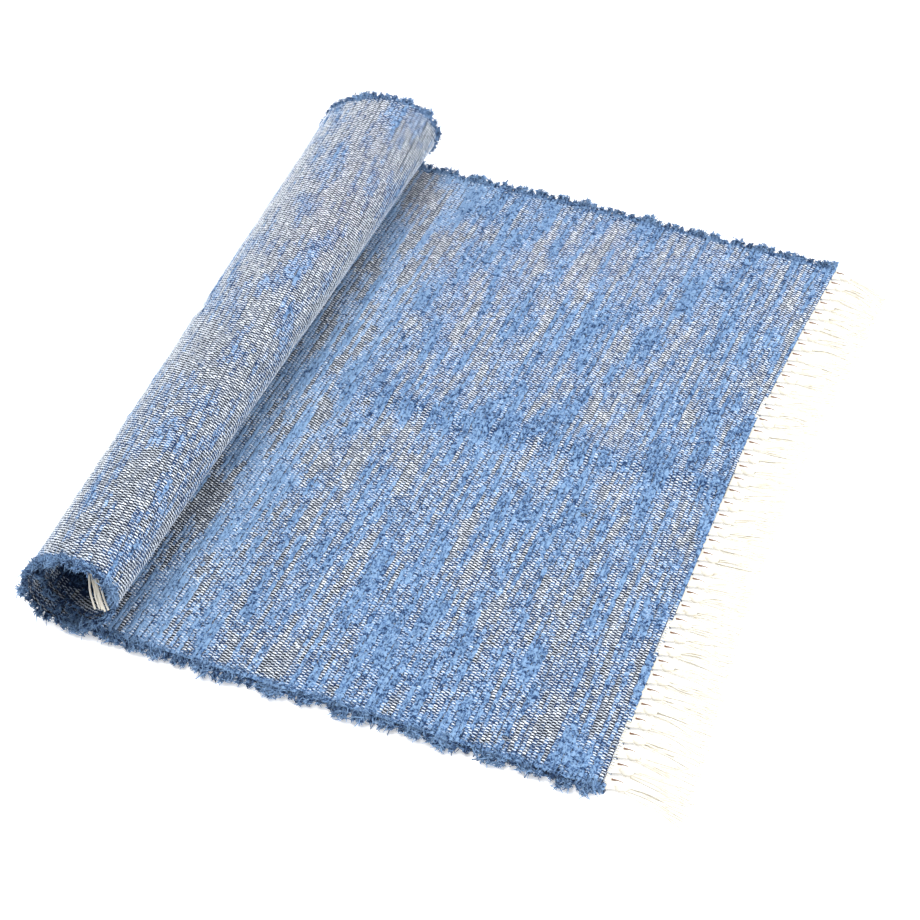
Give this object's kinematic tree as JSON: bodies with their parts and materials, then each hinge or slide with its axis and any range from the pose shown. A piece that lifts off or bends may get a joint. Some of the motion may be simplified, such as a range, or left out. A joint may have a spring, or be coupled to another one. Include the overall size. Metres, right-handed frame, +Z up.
{
  "type": "rug",
  "caption": "Hand-woven cotton rug lying flat on the floor with one end wound into a loose roll, lumpy selvedges and knotted fringes at both ends.",
  "frame": {"origin": "middle of the footprint, on the floor", "axes": "+X along the warp from the roll to the open fringe, +Y along the weft from the near selvedge to the far one, +Z up"},
  "size_m": [0.5698, 0.6118, 0.0839],
  "materials": {
    "weft": "matt chenille weave, blue weft with white warp dashes",
    "warp": "matt off-white cotton yarn"
  },
  "bodies": {
    "root": {"rug": "weft", "fringe_outer": "warp", "fringe_inner": "warp"}
  },
  "joints": []
}
